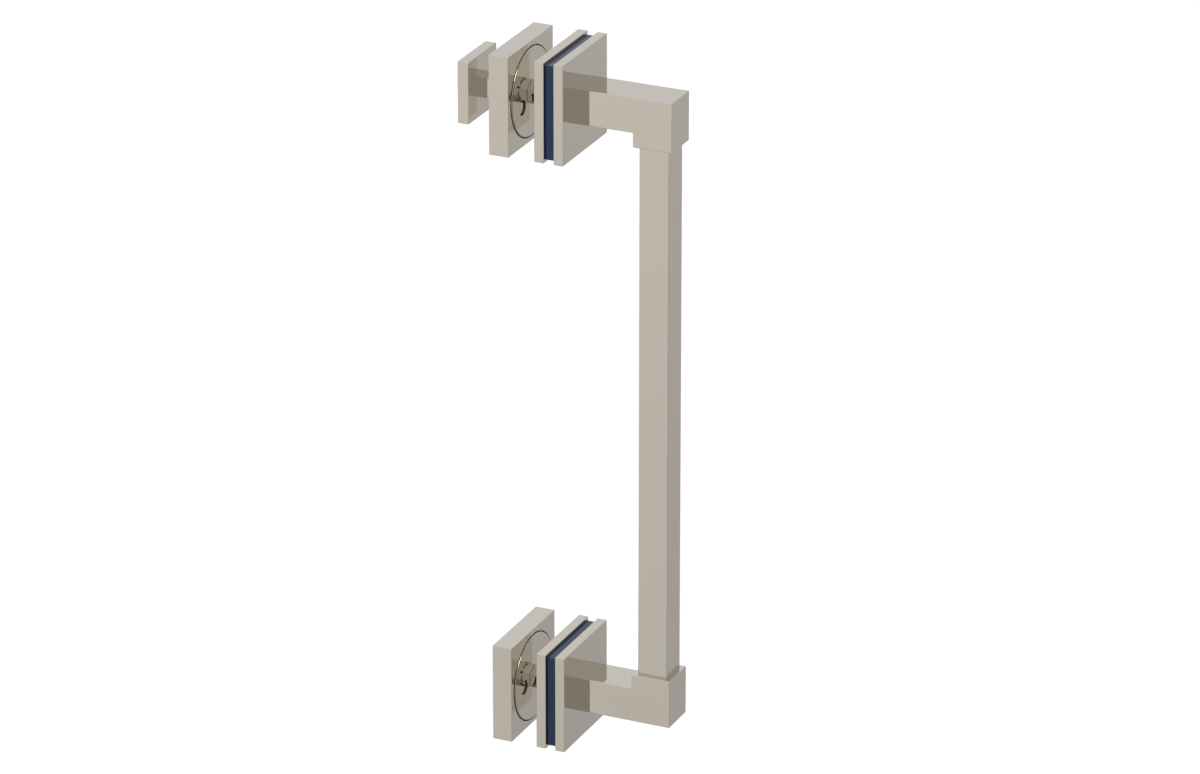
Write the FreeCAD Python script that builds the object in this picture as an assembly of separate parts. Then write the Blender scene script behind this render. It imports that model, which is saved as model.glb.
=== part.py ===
import FreeCAD, Part
import math
import os
from FreeCAD import Vector

# Shower door handle: a square pull bar on two square posts in front of the glass, and a small square
# knob and a blind cover behind it. Two shouldered bolts pass through the glass and hold all of it.
# Frame: the glass stands in the XZ plane and +Z is up. -Y points to the pull bar, +Y to the knob.
# The origin lies midway between the two bolts, on the plane that bears on the front of the glass.
# "Front" means the side towards -Y, and "back" the side towards +Y. All sizes are in millimetres.

# The door glass and the soft washer on each face of it
fixing_spacing = 304.8
glass_thickness = 10.0
washer_thickness = 1.1

# Square plates in front of the glass
plate_side = 50.0
outer_plate_thickness = 5.0
glass_plate_thickness = 5.0
accent_side = 47.0
accent_thickness = 5.0

# Posts and pull bar
arm_width = 20.0
arm_height = 17.5
arm_reach = 49.0
collar_depth = 20.0
collar_drop = 7.25
bar_side = 15.4
bar_clearance = 0.05
bar_end_gap = 0.1
socket_depth = 20.0

# Cover plates behind the glass
rosette_thickness = 10.2
rosette_floor = 3.8

# Round discs let into the plates that face the glass
disc_diameter = 44.0
disc_gap = 0.6
disc_thickness = 2.2
disc_proud = 0.5
hub_diameter = 15.0
hub_length = 4.2
hub_pocket_gap = 0.6
spanner_hole_diameter = 7.4
spanner_hole_depth = 0.75
spanner_pitch_radius = 11.5
upper_spanner_angle = 205.0
lower_spanner_angle = 187.0

# Shouldered bolts
shoulder_diameter = 12.3
flats_across = 10.7
flat_length = 4.5
flat_count = 6
mill_overlap = 0.15
dimple_diameter = 1.4
dimple_depth = 1.6
shoulder_let_in = 0.05
rear_seat_depth = 0.1
seat_clearance = 0.05
thread_diameter = 8.0
thread_clearance = 0.05
clearance_hole_gap = 0.2
post_thread_depth = 20.0
bolt_end_gap = 1.5
rear_thread_margin = 0.4
relief_width = 1.0
relief_depth = 0.6

# Dowel pins that keep the front plates square with the post
pin_diameter = 3.0
pin_spacing = 14.4
pin_clearance = 0.05
pin_depth_in_post = 8.0
pin_floor = 0.8

# Knob and its screw
knob_side = 31.0
knob_thickness = 5.7
neck_side = 10.0
neck_length = 15.0
neck_let_in = 1.0
neck_clearance = 0.05
knob_screw_diameter = 5.0
knob_screw_head_diameter = 9.2
knob_screw_length = 13.0
knob_screw_key = 3.0
knob_screw_hole_gap = 0.2

# Grub screws in the covers and in the collars
cover_screw_diameter = 3.0
cover_screw_length = 6.0
cover_screw_key = 1.5
cover_screw_gap = 0.05
groove_depth = 1.2
bar_screw_diameter = 4.0
bar_screw_length = 3.0
bar_screw_key = 2.0
bar_screw_sunk = 0.3
bar_dimple_gap = 0.1

# Edges
edge_radius = 0.3
bar_edge_radius = 0.5
disc_edge_radius = 0.5
hub_chamfer = 0.3
thread_chamfer = 0.6
screw_chamfer = 0.3
point_share = 0.25
drill_point_angle = 118.0

# Places along Y, counted from the plane that bears on the front of the glass
front_seat = 0.0
back_seat = front_seat + glass_thickness + 2 * washer_thickness
glass_plate_back = front_seat - disc_proud
glass_plate_front = glass_plate_back - glass_plate_thickness
accent_front = glass_plate_front - accent_thickness
outer_plate_front = accent_front - outer_plate_thickness
post_front = outer_plate_front - arm_reach
collar_back = post_front + collar_depth
bar_centre_y = post_front + collar_depth / 2
rosette_front = back_seat + disc_proud
rosette_back = rosette_front + rosette_thickness
pocket_floor = rosette_back - rosette_floor
neck_front = rosette_back - neck_let_in
knob_plate_front = rosette_back + neck_length
knob_back = knob_plate_front + knob_thickness

# Places of the discs, bolts and screws
recess_depth = disc_thickness - disc_proud
recess_radius = disc_diameter / 2 + disc_gap
disc_back = back_seat + disc_thickness
hub_back = disc_back + hub_length
groove_y = (disc_back + hub_back) / 2
cover_screw_point = point_share * cover_screw_diameter
cover_screw_tip = hub_diameter / 2 - groove_depth + cover_screw_point + cover_screw_gap
shoulder_front = front_seat - shoulder_let_in
shoulder_back = back_seat + shoulder_let_in
seat_radius = shoulder_diameter / 2 + seat_clearance
flat_radius = flats_across / 2
flat_half_width = math.sqrt((shoulder_diameter / 2) ** 2 - flat_radius ** 2)
mill_radius = flat_half_width + mill_overlap
thread_radius = thread_diameter / 2
threaded_hole_radius = thread_radius + thread_clearance
bolt_hole_radius = thread_radius + clearance_hole_gap
bolt_front = outer_plate_front - post_thread_depth + bolt_end_gap
bolt_back = hub_back - rear_thread_margin
pin_front = outer_plate_front - pin_depth_in_post
pin_back = glass_plate_back - recess_depth - pin_floor
bar_screw_z = arm_height / 2 + collar_drop / 2
half_bar = bar_side / 2
half_socket = half_bar + bar_clearance
corner_top = arm_height / 2
collar_mouth = -arm_height / 2 - collar_drop
socket_floor = collar_mouth + socket_depth
upper_z = fixing_spacing / 2
lower_z = -fixing_spacing / 2


def box(x_range, y_range, z_range):
    """A block between two corners."""
    size = [high - low for low, high in (x_range, y_range, z_range)]
    return Part.makeBox(*size, Vector(x_range[0], y_range[0], z_range[0]))


def square_bar(side, y_range):
    """A square block centred on the Y axis."""
    half = side / 2
    return box((-half, half), y_range, (-half, half))


def rod(radius, y_range):
    """A round bar on the Y axis."""
    return Part.makeCylinder(radius, y_range[1] - y_range[0], Vector(0, y_range[0], 0), Vector(0, 1, 0))


def turned(points):
    """A solid of revolution about the Y axis from (radius, y) points."""
    wire = Part.makePolygon([Vector(r, y, 0) for r, y in points + points[:1]])
    return Part.Face(wire).revolve(Vector(0, 0, 0), Vector(0, 1, 0), 360)


def round_edges(solid, radius, sharp_y=None):
    """Round every edge, apart from those that lie in the plane y = sharp_y."""
    edges = []
    for edge in solid.Edges:
        in_plane = sharp_y is not None and all(abs(v.Y - sharp_y) < 1e-6 for v in edge.Vertexes)
        if not in_plane:
            edges.append(edge)
    return solid.makeFillet(radius, edges)


def round_rim(disc, radius, y):
    """Round the rim of this radius that lies in the plane at y."""
    rims = []
    for edge in disc.Edges:
        circle = edge.Curve
        if isinstance(circle, Part.Circle) and abs(circle.Radius - radius) + abs(circle.Center.y - y) < 1e-6:
            rims.append(edge)
    return disc.makeFillet(disc_edge_radius, rims)


def blind_hole(radius, y_mouth, y_end):
    """A drilled hole from its mouth towards -Y, with the drill's cone at its end."""
    cone = radius / math.tan(math.radians(drill_point_angle / 2))
    return turned([(0, y_mouth), (radius, y_mouth), (radius, y_end), (0, y_end - cone)])


def hexagon(key, y_range):
    """A hexagonal bar on the Y axis, with this size across its flats."""
    corner = key / math.sqrt(3)
    points = []
    for step in range(7):
        angle = math.radians(60 * step)
        points.append(Vector(corner * math.cos(angle), y_range[0], corner * math.sin(angle)))
    return Part.Face(Part.makePolygon(points)).extrude(Vector(0, y_range[1] - y_range[0], 0))


def grub_screw(diameter, length, key):
    """A grub screw on the Y axis: its cup point at y = 0 and its hexagon socket at y = length."""
    radius = diameter / 2
    cup = point_share * diameter
    body = turned([
        (0, cup / 2),
        (cup, 0),
        (radius, radius - cup),
        (radius, length - screw_chamfer),
        (radius - screw_chamfer, length),
        (0, length),
    ])
    return body.cut(hexagon(key, (length - key, length)))


def pin_holes(extra):
    """The two holes for the dowel pins, with this much more radius than a pin."""
    return [pin(side, pin_diameter / 2 + extra) for side in (-1, 1)]


def pin(side, radius):
    """One straight pin along Y, to the left or right of the bolt."""
    place = Vector(side * pin_spacing / 2, pin_front, 0)
    return Part.makeCylinder(radius, pin_back - pin_front, place, Vector(0, 1, 0))


def front_plate(side, y_range):
    """One square plate of the front stack, with its bolt hole and pin holes."""
    plate = round_edges(square_bar(side, y_range), edge_radius)
    return plate.cut([rod(bolt_hole_radius, y_range)] + pin_holes(pin_clearance))


def glass_plate():
    """The plate next to the glass, with the recess for its disc."""
    plate = front_plate(plate_side, (glass_plate_front, glass_plate_back))
    return plate.cut(rod(recess_radius, (glass_plate_back - recess_depth, glass_plate_back)))


def post():
    """The arm and the collar of one post, with the bar's socket below the arm."""
    half = arm_width / 2
    outline = [
        Vector(-half, outer_plate_front, corner_top),
        Vector(-half, post_front, corner_top),
        Vector(-half, post_front, collar_mouth),
        Vector(-half, collar_back, collar_mouth),
        Vector(-half, collar_back, -arm_height / 2),
        Vector(-half, outer_plate_front, -arm_height / 2),
    ]
    elbow = Part.Face(Part.makePolygon(outline + outline[:1])).extrude(Vector(arm_width, 0, 0))
    elbow = round_edges(elbow, edge_radius, sharp_y=outer_plate_front)
    socket = box(
        (-half_socket, half_socket),
        (bar_centre_y - half_socket, bar_centre_y + half_socket),
        (collar_mouth - edge_radius, socket_floor),
    )
    thread = blind_hole(threaded_hole_radius, outer_plate_front, outer_plate_front - post_thread_depth)
    screw_hole = rod(bar_screw_diameter / 2 + thread_clearance, (bar_centre_y, collar_back))
    screw_hole.translate(Vector(0, 0, -bar_screw_z))
    return elbow.cut([socket, thread, screw_hole] + pin_holes(pin_clearance))


def pull_bar():
    """The square bar between the sockets of the two posts, with a seat for each grub screw."""
    end = upper_z + socket_floor - bar_end_gap
    bar = box((-half_bar, half_bar), (bar_centre_y - half_bar, bar_centre_y + half_bar), (-end, end))
    bar = round_edges(bar, bar_edge_radius)
    back = bar_centre_y + half_bar
    depth = bar_screw_tip() - bar_dimple_gap
    seats = []
    for z in (upper_z - bar_screw_z, lower_z + bar_screw_z):
        seat = rod(bar_screw_diameter / 2 + bar_dimple_gap, (depth, back))
        seat.translate(Vector(0, 0, z))
        seats.append(seat)
    return bar.cut(seats)


def bar_screw_tip():
    """Where the point of a collar's grub screw ends, along Y."""
    return collar_back - bar_screw_sunk - bar_screw_length


def bar_screw():
    """The grub screw through the back of a collar, which holds the bar."""
    screw = grub_screw(bar_screw_diameter, bar_screw_length, bar_screw_key)
    screw.translate(Vector(0, bar_screw_tip(), -bar_screw_z))
    return screw


def front_disc():
    """The plain disc in the plate next to the glass, on which the bolt's shoulder pulls."""
    radius = disc_diameter / 2
    back = front_seat - disc_thickness
    disc = turned([
        (bolt_hole_radius, back),
        (radius, back),
        (radius, front_seat),
        (seat_radius, front_seat),
        (seat_radius, shoulder_front),
        (bolt_hole_radius, shoulder_front),
    ])
    return round_rim(disc, radius, front_seat)


def clamp_disc(spanner_angle):
    """The threaded disc behind the glass: a nut with a grooved hub and two blind spanner holes."""
    radius = disc_diameter / 2
    hub = hub_diameter / 2
    disc = turned([
        (threaded_hole_radius, back_seat + rear_seat_depth),
        (seat_radius, back_seat + rear_seat_depth),
        (seat_radius, back_seat),
        (radius, back_seat),
        (radius, disc_back),
        (hub, disc_back),
        (hub, groove_y - groove_depth),
        (hub - groove_depth, groove_y),
        (hub, groove_y + groove_depth),
        (hub, hub_back - hub_chamfer),
        (hub - hub_chamfer, hub_back),
        (threaded_hole_radius, hub_back),
    ])
    holes = []
    for turn in (0, 180):
        angle = math.radians(spanner_angle + turn)
        place = Vector(math.cos(angle), 0, math.sin(angle)) * spanner_pitch_radius
        hole = rod(spanner_hole_diameter / 2, (back_seat, back_seat + spanner_hole_depth))
        hole.translate(place)
        holes.append(hole)
    return round_rim(disc, radius, back_seat).cut(holes)


def wrench_cut(angle):
    """What an end mill takes off for one flat: level along the bolt, with a round end on the shoulder."""
    centre = shoulder_back - flat_length + mill_radius
    clear = shoulder_back + mill_radius
    start = Vector(flat_radius, centre, -mill_radius)
    tip = Vector(flat_radius, centre - mill_radius, 0)
    end = Vector(flat_radius, centre, mill_radius)
    sides = Part.makePolygon([
        end,
        Vector(flat_radius, clear, mill_radius),
        Vector(flat_radius, clear, -mill_radius),
        start,
    ])
    outline = Part.Wire([Part.Arc(start, tip, end).toShape()] + sides.Edges)
    cut = Part.Face(outline).extrude(Vector(shoulder_diameter / 2, 0, 0))
    cut.rotate(Vector(0, 0, 0), Vector(0, 1, 0), -angle)
    return cut


def corner_dimple(angle):
    """A small dimple in the shoulder, between the round ends of two flats."""
    bottom = Vector(shoulder_diameter / 2 - dimple_depth, 0, 0)
    dimple = Part.makeCylinder(dimple_diameter / 2, 2 * dimple_depth, bottom, Vector(1, 0, 0))
    dimple.translate(Vector(0, shoulder_back - flat_length, 0))
    dimple.rotate(Vector(0, 0, 0), Vector(0, 1, 0), -angle)
    return dimple


def glass_bolt():
    """The bolt through the glass: the post's thread, a shoulder with wrench flats, the disc's thread."""
    shoulder = shoulder_diameter / 2
    bolt = turned([
        (0, bolt_front),
        (thread_radius - thread_chamfer, bolt_front),
        (thread_radius, bolt_front + thread_chamfer),
        (thread_radius, shoulder_front),
        (shoulder, shoulder_front),
        (shoulder, shoulder_back),
        (thread_radius - relief_depth, shoulder_back),
        (thread_radius - relief_depth, shoulder_back + relief_width),
        (thread_radius, shoulder_back + relief_width),
        (thread_radius, bolt_back - thread_chamfer),
        (thread_radius - thread_chamfer, bolt_back),
        (0, bolt_back),
    ])
    step = 360 / flat_count
    flats = [wrench_cut(step * number) for number in range(flat_count)]
    dimples = [corner_dimple(step * (number + 0.5)) for number in range(flat_count)]
    return bolt.cut(flats + dimples)


def cover_plate():
    """A thick square cover with the disc's recess, the hub's pocket and a screw hole from below."""
    cover = round_edges(square_bar(plate_side, (rosette_front, rosette_back)), edge_radius)
    pocket_radius = hub_diameter / 2 + hub_pocket_gap
    recess = rod(recess_radius, (rosette_front, rosette_front + recess_depth))
    pocket = rod(pocket_radius, (rosette_front, pocket_floor))
    hole_radius = cover_screw_diameter / 2 + thread_clearance
    hole = Part.makeCylinder(hole_radius, plate_side / 2, Vector(0, groove_y, 0), Vector(0, 0, -1))
    return cover.cut([recess, pocket, hole])


def knob_cover():
    """The upper cover, with a shallow square seat for the knob's neck and a countersunk hole."""
    seat = square_bar(neck_side + 2 * neck_clearance, (neck_front, rosette_back))
    return cover_plate().cut([seat, knob_screw_shape(knob_screw_hole_gap, rosette_back)])


def cover_screw():
    """The grub screw from below, whose point sits in the groove of the disc's hub."""
    screw = grub_screw(cover_screw_diameter, cover_screw_length, cover_screw_key)
    screw.rotate(Vector(0, 0, 0), Vector(1, 0, 0), -90)
    screw.translate(Vector(0, groove_y, -cover_screw_tip))
    return screw


def knob_screw_shape(gap, end):
    """A countersunk screw's outline with this much more radius, from the pocket's floor to y = end."""
    radius = knob_screw_diameter / 2 + gap
    head = knob_screw_head_diameter / 2 + gap
    return turned([
        (0, pocket_floor),
        (head, pocket_floor),
        (radius, pocket_floor + head - radius),
        (radius, end),
        (0, end),
    ])


def knob_screw():
    """The countersunk screw that pulls the knob's neck into its seat."""
    screw = knob_screw_shape(0, pocket_floor + knob_screw_length)
    return screw.cut(hexagon(knob_screw_key, (pocket_floor, pocket_floor + knob_screw_key / 2)))


def knob():
    """The square knob and its square neck, in one piece, with the threaded hole in the neck."""
    head = round_edges(square_bar(knob_side, (knob_plate_front, knob_back)), edge_radius)
    neck = square_bar(neck_side, (neck_front, knob_plate_front + edge_radius))
    thread_end = pocket_floor + knob_screw_length + bolt_end_gap
    thread = rod(knob_screw_diameter / 2 + thread_clearance, (neck_front, thread_end))
    return head.fuse(neck).cut(thread).removeSplitter()


def dowel_pins():
    """The two pins through the front plates, as one set of separate solids."""
    return Part.makeCompound([pin(side, pin_diameter / 2) for side in (-1, 1)])


def at_height(shape, z):
    """A copy of a piece, moved from the Y axis to the fixing at this height."""
    moved = shape.copy()
    moved.translate(Vector(0, 0, z))
    return moved


def turned_over(shape):
    """A copy of a piece, given half a turn about the Y axis."""
    copy = shape.copy()
    copy.rotate(Vector(0, 0, 0), Vector(0, 1, 0), 180)
    return copy


def build_parts():
    """Every piece of the handle by its node name."""
    pieces = {"pull_bar": pull_bar()}
    same_on_both = {
        "outer_plate": front_plate(plate_side, (outer_plate_front, accent_front)),
        "accent_plate": front_plate(accent_side, (accent_front, glass_plate_front)),
        "glass_plate": glass_plate(),
        "front_disc": front_disc(),
        "glass_bolt": glass_bolt(),
        "dowel_pins": dowel_pins(),
        "cover_screw": cover_screw(),
    }
    for fixing, z in (("upper", upper_z), ("lower", lower_z)):
        for name, shape in same_on_both.items():
            pieces[f"{fixing}_{name}"] = at_height(shape, z)
    pieces["upper_post"] = at_height(post(), upper_z)
    pieces["lower_post"] = at_height(turned_over(post()), lower_z)
    pieces["upper_bar_screw"] = at_height(bar_screw(), upper_z)
    pieces["lower_bar_screw"] = at_height(turned_over(bar_screw()), lower_z)
    pieces["upper_clamp_disc"] = at_height(clamp_disc(upper_spanner_angle), upper_z)
    pieces["lower_clamp_disc"] = at_height(clamp_disc(lower_spanner_angle), lower_z)
    pieces["upper_cover"] = at_height(knob_cover(), upper_z)
    pieces["lower_cover"] = at_height(cover_plate(), lower_z)
    pieces["knob"] = at_height(knob(), upper_z)
    pieces["knob_screw"] = at_height(knob_screw(), upper_z)
    return pieces


def main():
    os.makedirs("parts", exist_ok=True)
    for name, shape in build_parts().items():
        shape.exportStep(f"parts/{name}.step")
        print(name, "valid" if shape.isValid() else "NOT VALID", len(shape.Solids), round(shape.Volume, 2))


main()
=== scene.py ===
"""The looks of a shower door handle: its polished pieces, its navy plates and a plain studio.

Sizes are in metres. The door glass stands in the XZ plane and +Z is up. -Y points to the pull bar and
+Y to the knob. A size that the box of a solid gives is read from that box, and the others are settings.
A piece is shaped about its fixing's axis, which runs along Y, and is then lifted to its fixing.
"""

import math

import bmesh
import bpy
from bpy.props import FloatProperty, FloatVectorProperty, IntProperty, PointerProperty
from mathutils import Matrix, Vector


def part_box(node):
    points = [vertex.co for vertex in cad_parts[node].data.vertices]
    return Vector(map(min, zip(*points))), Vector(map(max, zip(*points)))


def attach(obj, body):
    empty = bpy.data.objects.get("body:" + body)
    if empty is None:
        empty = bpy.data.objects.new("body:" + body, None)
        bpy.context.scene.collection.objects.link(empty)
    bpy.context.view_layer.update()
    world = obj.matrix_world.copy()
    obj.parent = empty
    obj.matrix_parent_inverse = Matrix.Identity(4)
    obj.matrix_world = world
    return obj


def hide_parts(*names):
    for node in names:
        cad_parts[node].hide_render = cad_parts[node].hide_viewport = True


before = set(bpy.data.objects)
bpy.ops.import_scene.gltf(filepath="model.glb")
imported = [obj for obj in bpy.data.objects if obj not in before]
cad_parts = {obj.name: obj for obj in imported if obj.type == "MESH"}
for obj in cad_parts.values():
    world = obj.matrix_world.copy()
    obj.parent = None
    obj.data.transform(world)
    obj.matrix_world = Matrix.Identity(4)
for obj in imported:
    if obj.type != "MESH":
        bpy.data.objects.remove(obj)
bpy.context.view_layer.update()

bl_info = {
    "name": "Shower door handle",
    "version": (1, 0, 0),
    "blender": (4, 5, 0),
    "location": "View3D > Sidebar > Handle",
    "description": "Builds a back-to-back shower door handle and a plain studio for it",
    "category": "Object",
}

BODY = "root"
FIXINGS = ("upper", "lower")
WELD = 1e-7
PAST = 0.001
FULL_TURN = 2 * math.pi
# Material slots of the rougher finishes: the dull one holds painted shade in holes and recesses, the satin one painted
# light on the walls of the bolt's flats.
DULL_SHADED, SATIN_LIT = 1, 2


class HandleSizes(bpy.types.PropertyGroup):
    """Sizes that the boxes of the solids don't give."""

    plate_edge: FloatProperty(
        name="Plate edge", description="Radius on the edges of plates, posts and knob",
        default=0.0003, unit="LENGTH", precision=5)
    bar_edge: FloatProperty(
        name="Bar edge", description="Radius on the edges of the pull bar",
        default=0.0005, unit="LENGTH", precision=5)
    disc_edge: FloatProperty(
        name="Disc edge", description="Radius on the rims of the round discs",
        default=0.0005, unit="LENGTH", precision=5)
    disc_edge_steps: IntProperty(
        name="Disc edge steps", description="Faces across a disc's rounded rim", default=8, min=1)
    edge_steps: IntProperty(
        name="Edge steps", description="Faces across a rounded edge", default=4, min=1)
    round_steps: IntProperty(
        name="Round steps", description="Faces round a disc or a bolt", default=128, min=16)
    hole_steps: IntProperty(
        name="Hole steps", description="Faces round a small hole or screw", default=48, min=12)
    sharp_angle: FloatProperty(
        name="Sharp angle", description="Edges that turn by more than this are shaded as corners",
        default=math.radians(12), unit="ROTATION")
    fit_gap: FloatProperty(
        name="Fit gap", description="Room round the bar, the pins and the screws",
        default=0.00005, unit="LENGTH", precision=5)
    bolt_gap: FloatProperty(
        name="Bolt gap", description="Room round the bolt's thread in the front plates",
        default=0.0002, unit="LENGTH", precision=5)
    arm_height: FloatProperty(
        name="Arm height", description="Height of a post's arm", default=0.0175, unit="LENGTH", precision=5)
    post_thread_depth: FloatProperty(
        name="Post thread depth", description="Depth of the bolt's hole in a post",
        default=0.020, unit="LENGTH", precision=5)
    drill_point: FloatProperty(
        name="Drill point", description="Angle of the cone at the end of a drilled hole",
        default=math.radians(118), unit="ROTATION")
    disc_gap: FloatProperty(
        name="Disc gap", description="Gap round a disc in its recess", default=0.0006, unit="LENGTH", precision=5)
    disc_thickness: FloatProperty(
        name="Disc thickness", description="Thickness of a clamp disc's flange",
        default=0.0022, unit="LENGTH", precision=5)
    hub_diameter: FloatProperty(
        name="Hub diameter", description="Diameter of a clamp disc's hub", default=0.015, unit="LENGTH", precision=5)
    hub_pocket_gap: FloatProperty(
        name="Hub pocket gap", description="Room round the hub in its cover",
        default=0.0006, unit="LENGTH", precision=5)
    groove_depth: FloatProperty(
        name="Groove depth", description="Depth of the groove round the hub",
        default=0.0012, unit="LENGTH", precision=5)
    spanner_hole_diameter: FloatProperty(
        name="Spanner hole diameter", description="Diameter of the two spanner holes in a clamp disc",
        default=0.0074, unit="LENGTH", precision=5)
    spanner_hole_depth: FloatProperty(
        name="Spanner hole depth", description="Depth of the spanner holes, which don't go through",
        default=0.00075, unit="LENGTH", precision=5)
    spanner_pitch_radius: FloatProperty(
        name="Spanner pitch radius", description="Distance of a spanner hole from the bolt's axis",
        default=0.0115, unit="LENGTH", precision=5)
    upper_spanner_angle: FloatProperty(
        name="Upper spanner angle", description="Where the upper disc's first spanner hole stands, from +X",
        default=math.radians(205), unit="ROTATION")
    lower_spanner_angle: FloatProperty(
        name="Lower spanner angle", description="Where the lower disc's first spanner hole stands, from +X",
        default=math.radians(187), unit="ROTATION")
    shoulder_let_in: FloatProperty(
        name="Shoulder let-in", description="How far a bolt's shoulder enters the discs",
        default=0.00005, unit="LENGTH", precision=5)
    rear_seat_depth: FloatProperty(
        name="Rear seat depth", description="Depth of the shoulder's seat in a clamp disc",
        default=0.0001, unit="LENGTH", precision=5)
    thread_diameter: FloatProperty(
        name="Thread diameter", description="Diameter of a bolt's thread", default=0.008, unit="LENGTH", precision=5)
    thread_pitch: FloatProperty(
        name="Thread pitch", description="Pitch of a bolt's thread", default=0.00125, unit="LENGTH", precision=5)
    thread_slope: FloatProperty(
        name="Thread slope", description="Depth of a thread as a share of its pitch", default=0.5)
    flats_across: FloatProperty(
        name="Across flats", description="Distance between opposite wrench flats",
        default=0.0107, unit="LENGTH", precision=5)
    flat_length: FloatProperty(
        name="Flat length", description="Length of a wrench flat, to its round end",
        default=0.0045, unit="LENGTH", precision=5)
    flat_count: IntProperty(name="Flats", description="Wrench flats on a bolt", default=6, min=2)
    lower_bolt_turn: FloatProperty(
        name="Lower bolt turn", description="How far the lower bolt is turned on from the upper one",
        default=math.radians(3), unit="ROTATION")
    mill_overlap: FloatProperty(
        name="Mill overlap", description="How far the end mill reaches past the sides of a flat",
        default=0.00015, unit="LENGTH", precision=5)
    dimple_diameter: FloatProperty(
        name="Dimple diameter", description="Diameter of the dimples between the flats",
        default=0.0014, unit="LENGTH", precision=5)
    dimple_depth: FloatProperty(
        name="Dimple depth", description="Depth of the dimples between the flats",
        default=0.0016, unit="LENGTH", precision=5)
    neck_side: FloatProperty(
        name="Neck side", description="Side of the knob's square neck", default=0.010, unit="LENGTH", precision=5)
    knob_thickness: FloatProperty(
        name="Knob thickness", description="Thickness of the knob's plate", default=0.0057, unit="LENGTH", precision=5)
    knob_screw_diameter: FloatProperty(
        name="Knob screw diameter", description="Diameter of the screw in the knob's neck",
        default=0.005, unit="LENGTH", precision=5)
    knob_screw_gap: FloatProperty(
        name="Knob screw gap", description="Room round the knob's screw in its cover",
        default=0.0002, unit="LENGTH", precision=5)
    cover_key: FloatProperty(
        name="Cover screw key", description="Hexagon key of the grub screw in a cover",
        default=0.0015, unit="LENGTH", precision=5)
    bar_key: FloatProperty(
        name="Bar screw key", description="Hexagon key of the grub screw in a collar",
        default=0.002, unit="LENGTH", precision=5)
    screw_pitch: FloatProperty(
        name="Grub screw pitch", description="Pitch of the grub screws' threads",
        default=0.0006, unit="LENGTH", precision=5)


class HandleFinishes(bpy.types.PropertyGroup):
    """Colours and polish of the handle's three finishes. The dull and the satin nickel are rougher, and their colours
    hold painted shade and painted light.
    """

    nickel_colour: FloatVectorProperty(
        name="Nickel colour", description="Colour of the warm polished nickel",
        default=(0.62, 0.58, 0.515), subtype="COLOR")
    nickel_roughness: FloatProperty(
        name="Nickel roughness", description="Mean roughness of the nickel", default=0.05, min=0, max=1)
    # The dull colour is painted shade: much darker than the nickel, it darkens the walls of holes and recesses.
    dull_shade_colour: FloatVectorProperty(
        name="Dull shaded colour", description="Colour inside holes and recesses",
        default=(0.13, 0.12, 0.105), subtype="COLOR")
    dull_roughness: FloatProperty(
        name="Dull roughness", description="Mean roughness inside holes and recesses", default=0.45, min=0, max=1)
    # The satin colour is painted light: lighter than the polished nickel, it brightens the shaded walls of the bolt's
    # flats.
    satin_lit_colour: FloatVectorProperty(
        name="Satin lit colour", description="Colour of the walls of the bolt's flats",
        default=(0.75, 0.70, 0.62), subtype="COLOR")
    satin_roughness: FloatProperty(
        name="Satin roughness", description="Mean roughness of the walls of the bolt's flats",
        default=0.5, min=0, max=1)
    navy_colour: FloatVectorProperty(
        name="Navy colour", description="Colour of the navy plates", default=(0.037, 0.054, 0.106), subtype="COLOR")
    navy_roughness: FloatProperty(
        name="Navy roughness", description="Mean roughness of the navy plates", default=0.10, min=0, max=1)
    steel_colour: FloatVectorProperty(
        name="Steel colour", description="Colour of the pins and screws", default=(0.50, 0.50, 0.51), subtype="COLOR")
    steel_roughness: FloatProperty(
        name="Steel roughness", description="Mean roughness of the pins and screws", default=0.28, min=0, max=1)
    grain_size: FloatProperty(
        name="Grain size", description="Size of the polish's finest variation",
        default=0.004, unit="LENGTH", precision=5)
    ripple_height: FloatProperty(
        name="Ripple height", description="Height of the ripple that polishing leaves",
        default=0.0000006, unit="LENGTH", precision=7)


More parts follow.
